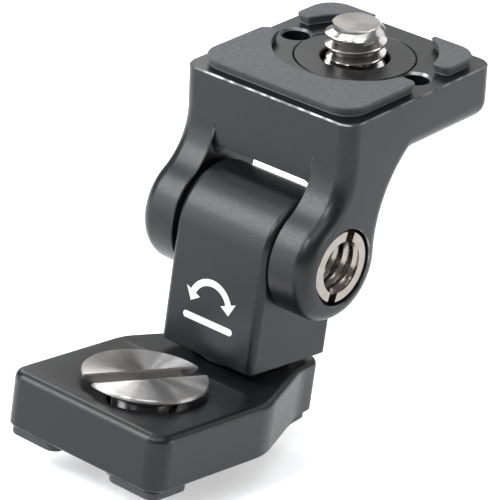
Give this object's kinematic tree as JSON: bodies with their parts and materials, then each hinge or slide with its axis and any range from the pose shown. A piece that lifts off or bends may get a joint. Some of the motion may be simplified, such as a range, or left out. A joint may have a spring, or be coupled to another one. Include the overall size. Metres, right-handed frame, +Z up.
{
  "type": "swivel and tilt bracket",
  "caption": "Small swivel and tilt bracket: a slotted base screw, a knuckle that swivels, and a forked, padded platform with a camera-size screw that tilts on side pivots.",
  "frame": {"origin": "where the axis of the base screw meets the underside of the base pads", "axes": "+X along the tilt axis to the right, +Y to the back from the base screw towards the swivel, +Z up"},
  "size_m": [0.022, 0.0448, 0.0442],
  "materials": {
    "base_plate": "black satin anodised, fine bead-blasted grain",
    "base_pad_front_left": "matt moulded rubber",
    "base_pad_front_right": "matt moulded rubber",
    "base_pad_rear": "matt moulded rubber",
    "base_screw": "stainless steel, turned face",
    "base_screw_clip": "dark spring steel",
    "swivel_washer": "black nylon",
    "swivel_screw": "stainless steel, turned",
    "swivel_spring_washer": "dark spring steel",
    "knuckle_block": "black satin anodised, fine bead-blasted grain",
    "pivot_washer_left": "black nylon",
    "pivot_washer_right": "black nylon",
    "pivot_bolt_left": "stainless steel, turned",
    "pivot_bolt_right": "stainless steel, turned",
    "tilt_fork": "black satin anodised, fine bead-blasted grain",
    "top_pad_front": "matt moulded rubber",
    "top_pad_rear_left": "matt moulded rubber",
    "top_pad_rear_right": "matt moulded rubber",
    "top_disc": "black satin anodised",
    "top_screw": "stainless steel, turned",
    "top_screw_ring": "dark spring steel"
  },
  "bodies": {
    "base": {"base_plate": "base_plate", "base_pad_front_left": "base_pad_front_left", "base_pad_front_right": "base_pad_front_right", "base_pad_rear": "base_pad_rear", "swivel_washer": "swivel_washer", "swivel_spring_washer": "swivel_spring_washer"},
    "base_clip": {"base_screw_clip": "base_screw_clip"},
    "base_screw": {"base_screw": "base_screw"},
    "knuckle": {"knuckle_block": "knuckle_block", "pivot_washer_left": "pivot_washer_left", "pivot_washer_right": "pivot_washer_right"},
    "swivel_screw": {"swivel_screw": "swivel_screw"},
    "pivot_bolt_left": {"pivot_bolt_left": "pivot_bolt_left"},
    "pivot_bolt_right": {"pivot_bolt_right": "pivot_bolt_right"},
    "fork": {"tilt_fork": "tilt_fork", "top_pad_front": "top_pad_front", "top_pad_rear_left": "top_pad_rear_left", "top_pad_rear_right": "top_pad_rear_right", "top_disc": "top_disc", "top_screw_ring": "top_screw_ring"},
    "top_screw": {"top_screw": "top_screw"}
  },
  "joints": [
    {"name": "base_screw_float", "type": "slide", "parent": "base", "child": "base_clip", "axis": [0, 0, 1], "range_m": [-0.0009, 0]},
    {"name": "base_screw_turn", "type": "hinge", "parent": "base_clip", "child": "base_screw", "pos_m": [0, 0, 0], "axis": [0, 0, 1], "continuous": true},
    {"name": "swivel", "type": "hinge", "parent": "base", "child": "knuckle", "pos_m": [0, 0.0149, 0.0077], "axis": [0, 0, 1], "continuous": true},
    {"name": "swivel_screw_turn", "type": "hinge", "parent": "knuckle", "child": "swivel_screw", "pos_m": [0, 0.0149, 0.0077], "axis": [0, 0, 1], "continuous": true},
    {"name": "pivot_left_turn", "type": "hinge", "parent": "knuckle", "child": "pivot_bolt_left", "pos_m": [-0.0107, 0.0149, 0.02], "axis": [-1, 0, 0], "continuous": true},
    {"name": "pivot_right_turn", "type": "hinge", "parent": "knuckle", "child": "pivot_bolt_right", "pos_m": [0.0107, 0.0149, 0.02], "axis": [1, 0, 0], "continuous": true},
    {"name": "tilt", "type": "hinge", "parent": "knuckle", "child": "fork", "pos_m": [0, 0.0149, 0.02], "axis": [1, 0, 0], "range_deg": [-88.3, 106.7]},
    {"name": "top_screw_turn", "type": "hinge", "parent": "fork", "child": "top_screw", "pos_m": [0, 0.02646, 0.03702], "axis": [0, -0.1444, 0.9895], "continuous": true}
  ]
}
